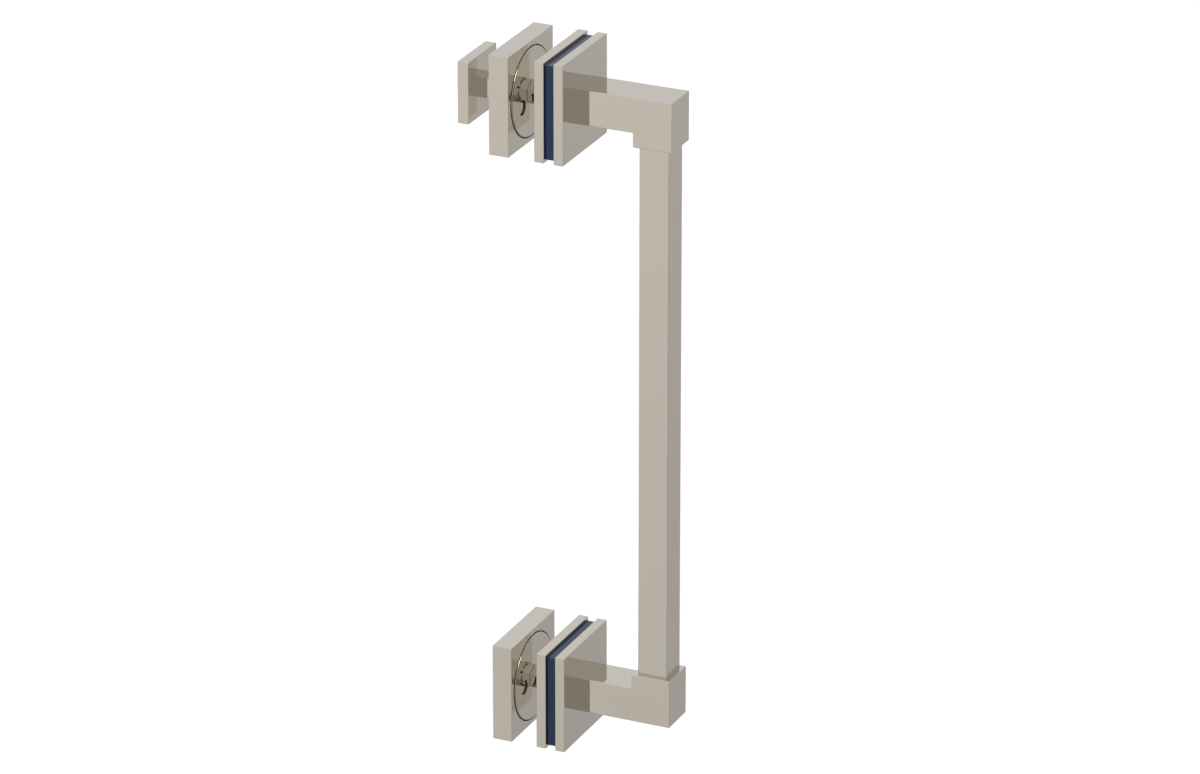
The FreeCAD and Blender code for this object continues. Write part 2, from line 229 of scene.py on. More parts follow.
class HandleStudio(bpy.types.PropertyGroup):
    """The camera, the light and the floor."""

    camera_place: FloatVectorProperty(
        name="Camera place", description="Where the camera stands", default=(-2.6369, -1.2223, 1.2281),
        subtype="TRANSLATION", unit="LENGTH")
    camera_line: FloatVectorProperty(
        name="Camera line", description="The direction in which the camera looks",
        default=(0.8389, 0.3815, -0.3884), subtype="DIRECTION")
    camera_lens: FloatProperty(
        name="Camera lens", description="Focal length for a sensor 36 mm wide", default=197.23, unit="CAMERA")
    floor_drop: FloatProperty(
        name="Floor drop", description="Height of the handle's middle above the floor",
        default=2.5, unit="LENGTH")
    floor_side: FloatProperty(
        name="Floor side", description="Side of the square floor", default=60.0, unit="LENGTH")
    floor_colour: FloatVectorProperty(
        name="Floor colour", description="Colour of the floor", default=(0.98, 0.98, 0.98), subtype="COLOR")
    open_light: FloatProperty(
        name="Open light", description="Strength of the even light from all round", default=0.80)
    sun_strength: FloatProperty(
        name="Soft lamp", description="Strength of the soft lamp overhead", default=0.9)
    sun_spread: FloatProperty(
        name="Lamp spread", description="Angle over which the soft lamp is spread",
        default=math.radians(60), unit="ROTATION")
    front_tone: FloatProperty(
        name="Front tone", description="How bright the studio in front of the door looks in the metal", default=0.58)
    back_tone: FloatProperty(
        name="Back tone", description="How bright the studio behind the door looks in the metal", default=0.86)
    corner_tone: FloatProperty(
        name="Corner tone", description="How much darker the studio looks at two opposite corners", default=0.035)
    low_tone: FloatProperty(
        name="Low tone", description="Share of that brightness that is left near the floor", default=0.50)
    high_tone: FloatProperty(
        name="High tone", description="How much brighter the studio looks well above the horizon", default=1.045)
    panel_place: FloatVectorProperty(
        name="Panel place", description="Direction of the small light panel that shows in the discs' rims",
        default=(-0.42, -0.62, 0.66), subtype="DIRECTION")
    panel_spread: FloatProperty(
        name="Panel spread", description="Angle from the light panel's middle to its edge",
        default=math.radians(15), unit="ROTATION")
    panel_colour: FloatVectorProperty(
        name="Panel colour", description="Colour of the light panel", default=(1.0, 0.90, 0.72), subtype="COLOR")
    panel_strength: FloatProperty(
        name="Panel strength", description="How bright the light panel looks in the metal", default=6.0)
    side_tint: FloatVectorProperty(
        name="Side tint", description="Tint of the studio on the pull bar's side", default=(1.0, 0.985, 0.98),
        subtype="COLOR")
    low_tint: FloatVectorProperty(
        name="Low tint", description="Tint of the studio below the horizon", default=(1.0, 0.975, 0.94),
        subtype="COLOR")
    high_tint: FloatVectorProperty(
        name="High tint", description="Tint of the studio above the horizon", default=(1.0, 1.0, 1.01),
        subtype="COLOR")


def fixing_height(fixing):
    """The height of one fixing's axis."""
    low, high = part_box(f"{fixing}_outer_plate")
    return (low.z + high.z) / 2


def box_at_fixing(node, fixing="upper"):
    """The lowest and highest corner of a node, with Z counted from its fixing's axis."""
    rise = Vector((0, 0, fixing_height(fixing)))
    low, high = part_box(node)
    return low - rise, high - rise


def block(low, high):
    """A closed block between two corners."""
    low, high = Vector(low), Vector(high)
    bm = bmesh.new()
    size = Matrix.Diagonal(high - low).to_4x4()
    bmesh.ops.create_cube(bm, size=1, matrix=Matrix.Translation((low + high) / 2) @ size)
    return bm


def square_block(side, low_y, high_y):
    """A closed block centred on the Y axis."""
    half = side / 2
    return block((-half, low_y, -half), (half, high_y, half))


def round_edges(bm, radius, steps, chosen=None):
    """Rounds the edges for which chosen says yes, or every edge."""
    edges = [edge for edge in bm.edges if chosen is None or chosen(edge)]
    bmesh.ops.bevel(
        bm, geom=edges, offset=radius, segments=steps, profile=0.5, affect="EDGES", material=-1,
        clamp_overlap=True)
    return bm


def turned(points, steps):
    """A closed solid of revolution about the Y axis. A profile that doesn't start on it is a closed ring."""
    bm = bmesh.new()
    corners = [bm.verts.new((radius, y, 0)) for radius, y in points]
    pairs = list(zip(corners, corners[1:]))
    if points[0][0] > 0:
        pairs.append((corners[-1], corners[0]))
    edges = [bm.edges.new(pair) for pair in pairs]
    bmesh.ops.spin(
        bm, geom=corners + edges, cent=(0, 0, 0), axis=(0, 1, 0), dvec=(0, 0, 0), angle=FULL_TURN,
        steps=steps, use_merge=True)
    bmesh.ops.remove_doubles(bm, verts=bm.verts, dist=WELD)
    bmesh.ops.recalc_face_normals(bm, faces=bm.faces)
    return bm


def rod(radius, start, end, steps):
    """A closed round bar between two points."""
    start, end = Vector(start), Vector(end)
    bm = bmesh.new()
    turn = (end - start).to_track_quat("Z", "X").to_matrix().to_4x4()
    bmesh.ops.create_cone(
        bm, cap_ends=True, segments=steps, radius1=radius, radius2=radius, depth=(end - start).length,
        matrix=Matrix.Translation((start + end) / 2) @ turn)
    return bm


def hexagon_bar(key, start, end):
    """A closed hexagonal bar between two points, with this size across its flats."""
    return rod(key / math.sqrt(3), start, end, 6)


def spare_object(bm):
    """An object that holds a bmesh for a moment. The bmesh is used up."""
    mesh = bpy.data.meshes.new("spare")
    bm.to_mesh(mesh)
    bm.free()
    made = bpy.data.objects.new("spare", mesh)
    bpy.context.scene.collection.objects.link(made)
    return made


def combined(operation, bm, tools):
    """A bmesh after each tool was cut from it or joined to it. All of them are used up."""
    body = spare_object(bm)
    spares = [spare_object(tool) for tool in tools]
    for spare in spares:
        step = body.modifiers.new("Step", "BOOLEAN")
        step.operation = operation
        step.solver = "EXACT"
        step.object = spare
    made = bmesh.new()
    made.from_object(body, bpy.context.evaluated_depsgraph_get())
    for used in [body, *spares]:
        mesh = used.data
        bpy.data.objects.remove(used)
        bpy.data.meshes.remove(mesh)
    return made


def cut(bm, *tools):
    """A bmesh less its tools."""
    return combined("DIFFERENCE", bm, tools)


def leave(bm, finish, chosen):
    """Leaves the faces for which chosen says yes with a rougher finish: dull, with painted shade in its dark colour,
    or satin, with painted light in its lighter colour.
    """
    for face in bm.faces:
        if chosen(face.normal, face.calc_center_median()):
            face.material_index = finish
    return bm


def wall_inside(side):
    """Says whether a face is the wall of a hole or recess along Y, in a plate with this side."""
    def chosen(normal, place):
        return abs(normal.y) < 0.3 and max(abs(place.x), abs(place.z)) < side / 2 - PAST
    return chosen


def add_piece(bm, name, node, material, sizes, fixing=None, over=False):
    """Turns a bmesh into the finished piece that stands for a node, at its fixing."""
    place = Matrix.Identity(4)
    if fixing:
        place = Matrix.Translation((0, 0, fixing_height(fixing)))
    if over:
        place = place @ Matrix.Rotation(math.pi, 4, "Y")
    bmesh.ops.transform(bm, matrix=place, verts=bm.verts)
    bmesh.ops.recalc_face_normals(bm, faces=bm.faces)
    for face in bm.faces:
        face.smooth = True
    for edge in bm.edges:
        edge.smooth = not edge.is_manifold or edge.calc_face_angle() < sizes.sharp_angle
    finishes = bpy.context.scene.handle_finishes
    # Slots after the first hold the dull and satin nickel, with their painted shade and painted light.
    shaded_or_lit_slots = max(face.material_index for face in bm.faces)
    mesh = bpy.data.meshes.new(name)
    bm.to_mesh(mesh)
    bm.free()
    mesh.materials.append(material)
    for shaded_or_lit_finish in (dull_shaded_nickel, satin_lit_nickel)[:shaded_or_lit_slots]:
        mesh.materials.append(shaded_or_lit_finish(finishes))
    piece = bpy.data.objects.new(name, mesh)
    bpy.context.scene.collection.objects.link(piece)
    shading = piece.modifiers.new("Flat faces stay flat", "WEIGHTED_NORMAL")
    shading.keep_sharp = True
    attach(piece, BODY)
    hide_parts(node)
    return piece


def pin_tools(sizes, low_y, high_y):
    """Tools for the two dowel pin holes, between two places along Y."""
    low, high = box_at_fixing("upper_dowel_pins")
    radius = (high.z - low.z) / 2
    tools = []
    for x in (low.x + radius, high.x - radius):
        tools.append(rod(radius + sizes.fit_gap, (x, low_y, 0), (x, high_y, 0), sizes.hole_steps))
    return tools


def bolt_tool(sizes, low_y, high_y):
    """The tool for the bolt's plain hole through the front plates."""
    radius = sizes.thread_diameter / 2 + sizes.bolt_gap
    return rod(radius, (0, low_y, 0), (0, high_y, 0), sizes.round_steps)


def rounded_plate(node, sizes):
    """A square plate with rounded edges, as large as the node's box."""
    low, high = box_at_fixing(node)
    return round_edges(block(low, high), sizes.plate_edge, sizes.edge_steps)


def front_plate(node, sizes):
    """A square plate in front of the glass, with its bolt hole and pin holes."""
    low, high = box_at_fixing(node)
    tools = pin_tools(sizes, low.y - PAST, high.y + PAST)
    return cut(rounded_plate(node, sizes), bolt_tool(sizes, low.y - PAST, high.y + PAST), *tools)


def disc_recess(sizes, floor_y, mouth_y):
    """The tool for a disc's recess."""
    low, high = box_at_fixing("upper_front_disc")
    radius = (high.x - low.x) / 2 + sizes.disc_gap
    return rod(radius, (0, floor_y, 0), (0, mouth_y, 0), sizes.round_steps)


def glass_side_plate(sizes):
    """The plate next to the glass, with its bolt hole, its blind pin holes and the disc's recess."""
    low, high = box_at_fixing("upper_glass_plate")
    floor = box_at_fixing("upper_front_disc")[0].y
    pins_end = box_at_fixing("upper_dowel_pins")[1].y
    plate = cut(
        rounded_plate("upper_glass_plate", sizes),
        bolt_tool(sizes, low.y - PAST, high.y + PAST),
        disc_recess(sizes, floor, high.y + PAST),
        *pin_tools(sizes, low.y - PAST, pins_end))
    # The walls of the bolt hole, the pin holes and the recess get painted shade.
    return leave(plate, DULL_SHADED, wall_inside(high.x - low.x))


def front_disc(sizes):
    """The plain disc under the bolt's shoulder."""
    low, high = box_at_fixing("upper_front_disc")
    shoulder = box_at_fixing("upper_glass_bolt")[1].x
    hole = sizes.thread_diameter / 2 + sizes.bolt_gap
    seat = shoulder + sizes.fit_gap
    seat_y = high.y - sizes.shoulder_let_in
    disc = turned(
        [(hole, low.y), (high.x, low.y), (high.x, high.y), (seat, high.y), (seat, seat_y), (hole, seat_y)],
        sizes.round_steps)
    round_edges(disc, sizes.disc_edge, sizes.disc_edge_steps, ring(high.x, high.y))
    # The disc's side walls get painted shade.
    return leave(disc, DULL_SHADED, is_side_wall)


def ring(radius, y):
    """Says whether an edge belongs to the circle of this radius at y."""
    def chosen(edge):
        return all(
            abs(math.hypot(vert.co.x, vert.co.z) - radius) < WELD and abs(vert.co.y - y) < WELD
            for vert in edge.verts)
    return chosen


def is_side_wall(normal, place):
    """Says whether a face stands square to the faces of a disc."""
    return abs(normal.y) < 0.3


def clamp_disc(sizes, spanner_angle):
    """The threaded disc behind the glass, with a grooved hub and two spanner holes."""
    low, high = box_at_fixing("upper_clamp_disc")
    seat = box_at_fixing("upper_glass_bolt")[1].x + sizes.fit_gap
    seat_y = low.y + sizes.rear_seat_depth
    hole = sizes.thread_diameter / 2 + sizes.fit_gap
    hub = sizes.hub_diameter / 2
    flange_y = low.y + sizes.disc_thickness
    groove_y = (flange_y + high.y) / 2
    depth = sizes.groove_depth
    disc = turned(
        [
            (hole, seat_y),
            (seat, seat_y),
            (seat, low.y),
            (high.x, low.y),
            (high.x, flange_y),
            (hub, flange_y),
            (hub, groove_y - depth),
            (hub - depth, groove_y),
            (hub, groove_y + depth),
            (hub, high.y),
            (hole, high.y),
        ],
        sizes.round_steps)
    round_edges(disc, sizes.disc_edge, sizes.disc_edge_steps, ring(high.x, low.y))
    tools = []
    for turn in (0, math.pi):
        angle = spanner_angle + turn
        x = math.cos(angle) * sizes.spanner_pitch_radius
        z = math.sin(angle) * sizes.spanner_pitch_radius
        radius = sizes.spanner_hole_diameter / 2
        floor = low.y + sizes.spanner_hole_depth
        tools.append(rod(radius, (x, low.y - PAST, z), (x, floor, z), sizes.hole_steps))
    # The side walls, the spanner holes' walls among them, get painted shade.
    return leave(cut(disc, *tools), DULL_SHADED, is_side_wall)


def thread_profile(radius, pitch, slope, start, end):
    """Profile points of a thread between two places, which begins and ends on its outer diameter."""
    count = max(1, round((end - start) / pitch))
    step = (end - start) / count
    points = [(radius, start)]
    for number in range(count):
        points.append((radius - slope * step, start + (number + 0.5) * step))
        points.append((radius, start + (number + 1) * step))
    return points


def glass_bolt(sizes, turn):
    """The bolt through the glass: a thread, a shoulder with six milled flats, and a thread."""
    low, high = box_at_fixing("upper_glass_bolt")
    shoulder = high.x
    front_y = box_at_fixing("upper_front_disc")[1].y - sizes.shoulder_let_in
    back_y = box_at_fixing("upper_clamp_disc")[0].y + sizes.shoulder_let_in
    thread = sizes.thread_diameter / 2
    pitch = sizes.thread_pitch
    root = thread - sizes.thread_slope * pitch
    points = [(0, low.y), (root, low.y)]
    points += thread_profile(thread, pitch, sizes.thread_slope, low.y + pitch / 2, front_y - pitch)
    points += [(thread, front_y), (shoulder, front_y), (shoulder, back_y), (root, back_y)]
    points += thread_profile(thread, pitch, sizes.thread_slope, back_y + pitch, high.y - pitch / 2)
    points += [(root, high.y), (0, high.y)]
    flat = sizes.flats_across / 2
    mill = math.sqrt(shoulder ** 2 - flat ** 2) + sizes.mill_overlap
    mill_y = back_y - sizes.flat_length + mill
    dimple_y = back_y - sizes.flat_length
    tools = []
    for number in range(sizes.flat_count):
        flat_turn = Matrix.Rotation(turn + FULL_TURN * number / sizes.flat_count, 4, "Y")
        dimple_turn = Matrix.Rotation(turn + FULL_TURN * (number + 0.5) / sizes.flat_count, 4, "Y")
        slot = rod(mill, (flat, mill_y, 0), (2 * flat, mill_y, 0), sizes.round_steps)
        ahead = [vert for vert in slot.verts if vert.co.y > mill_y + WELD]
        bmesh.ops.translate(slot, vec=(0, mill, 0), verts=ahead)
        bmesh.ops.transform(slot, matrix=flat_turn, verts=slot.verts)
        drill = rod(
            sizes.dimple_diameter / 2, (shoulder - sizes.dimple_depth, dimple_y, 0),
            (shoulder + PAST, dimple_y, 0), sizes.hole_steps)
        bmesh.ops.transform(drill, matrix=dimple_turn, verts=drill.verts)
        tools += [slot, drill]
    bolt = cut(turned(points, sizes.round_steps), *tools)

    def milled_wall(normal, place):
        outward = Vector((place.x, 0, place.z)).normalized()
        return front_y < place.y < back_y - WELD and abs(normal.dot(outward)) < 0.35

    def dimple_wall(normal, place):
        share = (math.atan2(place.z, place.x) + turn) / FULL_TURN * sizes.flat_count % 1
        beside = abs(share - 0.5) * FULL_TURN / sizes.flat_count * shoulder
        return milled_wall(normal, place) and math.hypot(beside, place.y - dimple_y) < sizes.dimple_diameter

    # The walls of the milled flats get painted light, and the dimples' walls painted shade.
    leave(bolt, SATIN_LIT, milled_wall)
    return leave(bolt, DULL_SHADED, dimple_wall)


def post(sizes):
    """The arm and the collar of a post, with the bar's socket, the bolt's hole and the screw holes."""
    low, high = box_at_fixing("upper_post")
    half = sizes.arm_height / 2
    collar_y = low.y + (high.x - low.x)
    corners = [
        (high.y, high.z), (low.y, high.z), (low.y, low.z), (collar_y, low.z), (collar_y, -half), (high.y, -half)]
    elbow = bmesh.new()
    side = elbow.faces.new([elbow.verts.new((low.x, y, z)) for y, z in corners])
    grown = bmesh.ops.extrude_face_region(elbow, geom=[side])["geom"]
    moved = [item for item in grown if isinstance(item, bmesh.types.BMVert)]
    bmesh.ops.translate(elbow, vec=(high.x - low.x, 0, 0), verts=moved)
    bmesh.ops.recalc_face_normals(elbow, faces=elbow.faces)

    def away_from_plate(edge):
        return any(abs(vert.co.y - high.y) > WELD for vert in edge.verts)

    round_edges(elbow, sizes.plate_edge, sizes.edge_steps, away_from_plate)
    bar_low, bar_high = box_at_fixing("pull_bar")
    gap = Vector((sizes.fit_gap, sizes.fit_gap, 0))
    socket_low = Vector((bar_low.x, bar_low.y, low.z - PAST)) - gap
    socket_high = Vector((bar_high.x, bar_high.y, bar_high.z + 2 * sizes.fit_gap)) + gap
    thread = sizes.thread_diameter / 2 + sizes.fit_gap
    thread_end = high.y - sizes.post_thread_depth
    point = thread / math.tan(sizes.drill_point / 2)
    thread_hole = turned(
        [(0, high.y + PAST), (thread, high.y + PAST), (thread, thread_end), (0, thread_end - point)],
        sizes.round_steps)
    pins_start = box_at_fixing("upper_dowel_pins")[0].y
    screw_low, screw_high = box_at_fixing("upper_bar_screw")
    screw_radius = (screw_high.x - screw_low.x) / 2 + sizes.fit_gap
    screw_z = (screw_low.z + screw_high.z) / 2
    screw_hole = rod(
        screw_radius, (0, (bar_low.y + bar_high.y) / 2, screw_z), (0, collar_y + PAST, screw_z), sizes.hole_steps)
    return cut(
        elbow, block(socket_low, socket_high), thread_hole, screw_hole,
        *pin_tools(sizes, pins_start, high.y + PAST))


def pull_bar(sizes):
    """The square bar, with a seat for each grub screw in its back."""
    low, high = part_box("pull_bar")
    bar = round_edges(block(low, high), sizes.bar_edge, sizes.edge_steps)
    seats = []
    for fixing in FIXINGS:
        screw_low, screw_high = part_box(f"{fixing}_bar_screw")
        radius = (screw_high.x - screw_low.x) / 2 + 2 * sizes.fit_gap
        z = (screw_low.z + screw_high.z) / 2
        floor = screw_low.y - 2 * sizes.fit_gap
        seats.append(rod(radius, (0, floor, z), (0, high.y + PAST, z), sizes.hole_steps))
    return cut(bar, *seats)


def grub_screw(sizes, diameter, length, key):
    """A grub screw on the Y axis, with its point at y = 0 and its hexagon socket at y = length."""
    radius = diameter / 2
    pitch = sizes.screw_pitch
    root = radius - sizes.thread_slope * pitch
    cup = radius / 2
    points = [(0, cup / 2), (cup, 0), (root, root - cup)]
    points += thread_profile(radius, pitch, sizes.thread_slope, root, length - pitch / 2)
    points += [(root, length), (0, length)]
    socket = hexagon_bar(key, (0, length - key, 0), (0, length + PAST, 0))
    return cut(turned(points, sizes.hole_steps), socket)


def cover(sizes, carries_knob):
    """A thick square cover, with the disc's recess, the hub's pocket and a screw hole from below."""
    low, high = box_at_fixing("upper_cover")
    disc_low, disc_high = box_at_fixing("upper_clamp_disc")
    screw_low, screw_high = box_at_fixing("knob_screw")
    grub_low, grub_high = box_at_fixing("upper_cover_screw")
    flange_y = disc_low.y + sizes.disc_thickness
    pocket = sizes.hub_diameter / 2 + sizes.hub_pocket_gap
    grub_radius = (grub_high.x - grub_low.x) / 2 + sizes.fit_gap
    grub_y = (grub_low.y + grub_high.y) / 2
    tools = [
        disc_recess(sizes, flange_y, low.y - PAST),
        rod(pocket, (0, low.y - PAST, 0), (0, screw_low.y, 0), sizes.round_steps),
        rod(grub_radius, (0, grub_y, 0), (0, grub_y, low.z - PAST), sizes.hole_steps),
    ]
    if carries_knob:
        seat_y = box_at_fixing("knob")[0].y
        head = (screw_high.x - screw_low.x) / 2 + sizes.knob_screw_gap
        shank = sizes.knob_screw_diameter / 2 + sizes.knob_screw_gap
        tools.append(square_block(sizes.neck_side + 2 * sizes.fit_gap, seat_y, high.y + PAST))
        tools.append(turned(
            [
                (0, screw_low.y - PAST),
                (head, screw_low.y - PAST),
                (head, screw_low.y),
                (shank, screw_low.y + head - shank),
                (shank, high.y + PAST),
                (0, high.y + PAST),
            ],
            sizes.hole_steps))
    # The walls of the recess, the pocket and the holes get painted shade.
    return leave(cut(rounded_plate("upper_cover", sizes), *tools), DULL_SHADED, wall_inside(high.x - low.x))


def knob(sizes):
    """The knob's square plate and its square neck in one piece, with the screw's hole in the neck."""
    low, high = box_at_fixing("knob")
    plate_y = high.y - sizes.knob_thickness
    head = round_edges(square_block(high.x - low.x, plate_y, high.y), sizes.plate_edge, sizes.edge_steps)
    neck = square_block(sizes.neck_side, low.y, plate_y + sizes.knob_thickness / 2)
    hole_end = box_at_fixing("knob_screw")[1].y + PAST
    radius = sizes.knob_screw_diameter / 2 + sizes.fit_gap
    hole = rod(radius, (0, low.y - PAST, 0), (0, hole_end, 0), sizes.hole_steps)
    return cut(combined("UNION", head, [neck]), hole)


def add_node(tree, kind, values=None):
    """A shader node, with values for its sockets by name."""
    made = tree.nodes.new(kind)
    for socket, value in (values or {}).items():
        made.inputs[socket].default_value = value
    return made


def polish_group():
    """Gives the faint unevenness of a polished surface: a roughness, a tone and a ripple's height."""
    name = "Polish"
    if name in bpy.data.node_groups:
        return bpy.data.node_groups[name]
    group = bpy.data.node_groups.new(name, "ShaderNodeTree")
    face = group.interface
    face.new_socket("Vector", in_out="INPUT", socket_type="NodeSocketVector")
    for label in ("Grain Size", "Roughness", "Variation"):
        face.new_socket(label, in_out="INPUT", socket_type="NodeSocketFloat")
    for label in ("Roughness", "Tone", "Height"):
        face.new_socket(label, in_out="OUTPUT", socket_type="NodeSocketFloat")
    source = group.nodes.new("NodeGroupInput")
    result = group.nodes.new("NodeGroupOutput")
    link = group.links.new

    finer = add_node(group, "ShaderNodeMath", {0: 1.0})
    finer.operation = "DIVIDE"
    link(source.outputs["Grain Size"], finer.inputs[1])
    grain = add_node(group, "ShaderNodeTexNoise", {"Detail": 3.0, "Roughness": 0.55})
    link(source.outputs["Vector"], grain.inputs["Vector"])
    link(finer.outputs["Value"], grain.inputs["Scale"])

    wider = add_node(group, "ShaderNodeMath", {1: 0.2})
    wider.operation = "MULTIPLY"
    link(finer.outputs["Value"], wider.inputs[0])
    cloud = add_node(group, "ShaderNodeTexNoise", {"Detail": 1.0, "Roughness": 0.4})
    link(source.outputs["Vector"], cloud.inputs["Vector"])
    link(wider.outputs["Value"], cloud.inputs["Scale"])

    spread = add_node(group, "ShaderNodeMapRange", {"From Min": 0.3, "From Max": 0.7, "To Min": -1.0, "To Max": 1.0})
    link(grain.outputs["Fac"], spread.inputs["Value"])
    share = add_node(group, "ShaderNodeMath")
    share.operation = "MULTIPLY"
    link(spread.outputs["Result"], share.inputs[0])
    link(source.outputs["Variation"], share.inputs[1])
    rough = add_node(group, "ShaderNodeMath")
    rough.operation = "MULTIPLY_ADD"
    link(share.outputs["Value"], rough.inputs[0])
    link(source.outputs["Roughness"], rough.inputs[1])
    link(source.outputs["Roughness"], rough.inputs[2])
    link(rough.outputs["Value"], result.inputs["Roughness"])
    link(cloud.outputs["Fac"], result.inputs["Tone"])
    link(grain.outputs["Fac"], result.inputs["Height"])
    return group


def polished_material(name, colour, roughness, variation, shade, finishes, constants):
    """A finish with faint cloudiness and ripple. shade is how far the cloudiness darkens the colour."""
    if name in bpy.data.materials:
        return bpy.data.materials[name]
    made = bpy.data.materials.new(name)
    made.use_nodes = True
    tree = made.node_tree
    link = tree.links.new
    shader = tree.nodes["Principled BSDF"]
    for socket, value in constants.items():
        shader.inputs[socket].default_value = value
    place = add_node(tree, "ShaderNodeTexCoord")
    polish = add_node(tree, "ShaderNodeGroup")
    polish.node_tree = polish_group()
    polish.inputs["Grain Size"].default_value = finishes.grain_size
    polish.inputs["Roughness"].default_value = roughness
    polish.inputs["Variation"].default_value = variation
    link(place.outputs["Object"], polish.inputs["Vector"])
    link(polish.outputs["Roughness"], shader.inputs["Roughness"])

    tone = add_node(tree, "ShaderNodeMix")
    tone.data_type = "RGBA"
    tone.inputs["A"].default_value = (*[part * (1 - shade) for part in colour], 1)
    tone.inputs["B"].default_value = (*[part * (1 + shade) for part in colour], 1)
    link(polish.outputs["Tone"], tone.inputs["Factor"])
    link(tone.outputs["Result"], shader.inputs["Base Color"])

    ripple = add_node(tree, "ShaderNodeBump", {"Strength": 1.0, "Distance": finishes.ripple_height})
    link(polish.outputs["Height"], ripple.inputs["Height"])
    link(ripple.outputs["Normal"], shader.inputs["Normal"])
    return made


def nickel(finishes):
    """Warm polished nickel over brass."""
    return polished_material(
        "Polished nickel", finishes.nickel_colour, finishes.nickel_roughness, 0.25, 0.012, finishes,
        {"Metallic": 1.0})


def dull_shaded_nickel(finishes):
    """The inside of holes and recesses: drilled or turned and not polished, so rougher, and with painted shade in its
    dark colour.
    """
    return polished_material(
        "Dull nickel with painted shade", finishes.dull_shade_colour, finishes.dull_roughness, 0.3, 0.04, finishes, {"Metallic": 1.0})


def satin_lit_nickel(finishes):
    """The walls of the milled flats: satin from the end mill, so rougher, and with painted light in a colour lighter
    than the polished nickel.
    """
    return polished_material(
        "Satin nickel with painted light", finishes.satin_lit_colour, finishes.satin_roughness, 0.3, 0.04, finishes, {"Metallic": 1.0})


def navy(finishes):
    """Glossy navy coating on metal."""
    return polished_material(
        "Navy coating", finishes.navy_colour, finishes.navy_roughness, 0.2, 0.05, finishes, {"Metallic": 1.0})


def steel(finishes):
    """Plain steel of pins and screws."""
    return polished_material(
        "Screw steel", finishes.steel_colour, finishes.steel_roughness, 0.3, 0.05, finishes, {"Metallic": 1.0})


class PieceOperator:
    """What the operators for pieces share."""

    bl_options = {"REGISTER", "UNDO"}

    def execute(self, context):
        self.build(context.scene.handle_sizes, context.scene.handle_finishes)
        return {"FINISHED"}


class HANDLE_OT_pull_bar(PieceOperator, bpy.types.Operator):
    """Add the square pull bar"""

    bl_idname = "handle.pull_bar"
    bl_label = "Pull bar"

    def build(self, sizes, finishes):
        add_piece(pull_bar(sizes), "square_pull_bar", "pull_bar", nickel(finishes), sizes)


class HANDLE_OT_posts(PieceOperator, bpy.types.Operator):
    """Add the two posts. The lower one is turned over"""

    bl_idname = "handle.posts"
    bl_label = "Posts"

    def build(self, sizes, finishes):
        for fixing in FIXINGS:
            add_piece(
                post(sizes), f"{fixing}_square_post", f"{fixing}_post", nickel(finishes), sizes, fixing,
                over=fixing == "lower")


class HANDLE_OT_front_plates(PieceOperator, bpy.types.Operator):
    """Add the three square plates in front of the glass, at each fixing"""

    bl_idname = "handle.front_plates"
    bl_label = "Front plates"

    def build(self, sizes, finishes):
        for fixing in FIXINGS:
            add_piece(
                front_plate("upper_outer_plate", sizes), f"{fixing}_square_outer_plate",
                f"{fixing}_outer_plate", nickel(finishes), sizes, fixing)
            add_piece(
                front_plate("upper_accent_plate", sizes), f"{fixing}_navy_plate", f"{fixing}_accent_plate",
                navy(finishes), sizes, fixing)
            add_piece(
                glass_side_plate(sizes), f"{fixing}_glass_side_plate", f"{fixing}_glass_plate",
                nickel(finishes), sizes, fixing)


class HANDLE_OT_discs(PieceOperator, bpy.types.Operator):
    """Add the round discs on both faces of the glass"""

    bl_idname = "handle.discs"
    bl_label = "Discs"

    def build(self, sizes, finishes):
        angles = {"upper": sizes.upper_spanner_angle, "lower": sizes.lower_spanner_angle}
        for fixing in FIXINGS:
            add_piece(
                front_disc(sizes), f"{fixing}_shoulder_disc", f"{fixing}_front_disc", nickel(finishes),
                sizes, fixing)
            add_piece(
                clamp_disc(sizes, angles[fixing]), f"{fixing}_spanner_disc", f"{fixing}_clamp_disc",
                nickel(finishes), sizes, fixing)


class HANDLE_OT_glass_bolts(PieceOperator, bpy.types.Operator):
    """Add the shouldered bolts that pass through the glass"""

    bl_idname = "handle.glass_bolts"
    bl_label = "Glass bolts"

    def build(self, sizes, finishes):
        turns = {"upper": 0.0, "lower": sizes.lower_bolt_turn}
        for fixing in FIXINGS:
            add_piece(
                glass_bolt(sizes, turns[fixing]), f"{fixing}_shouldered_bolt", f"{fixing}_glass_bolt",
                nickel(finishes), sizes, fixing)


class HANDLE_OT_covers(PieceOperator, bpy.types.Operator):
    """Add the two thick covers behind the glass"""

    bl_idname = "handle.covers"
    bl_label = "Covers"

    def build(self, sizes, finishes):
        for fixing in FIXINGS:
            add_piece(
                cover(sizes, fixing == "upper"), f"{fixing}_square_cover", f"{fixing}_cover", nickel(finishes),
                sizes, fixing)


class HANDLE_OT_knob(PieceOperator, bpy.types.Operator):
    """Add the small square knob on the upper cover"""

    bl_idname = "handle.knob"
    bl_label = "Knob"

    def build(self, sizes, finishes):
        add_piece(knob(sizes), "square_knob", "knob", nickel(finishes), sizes, "upper")


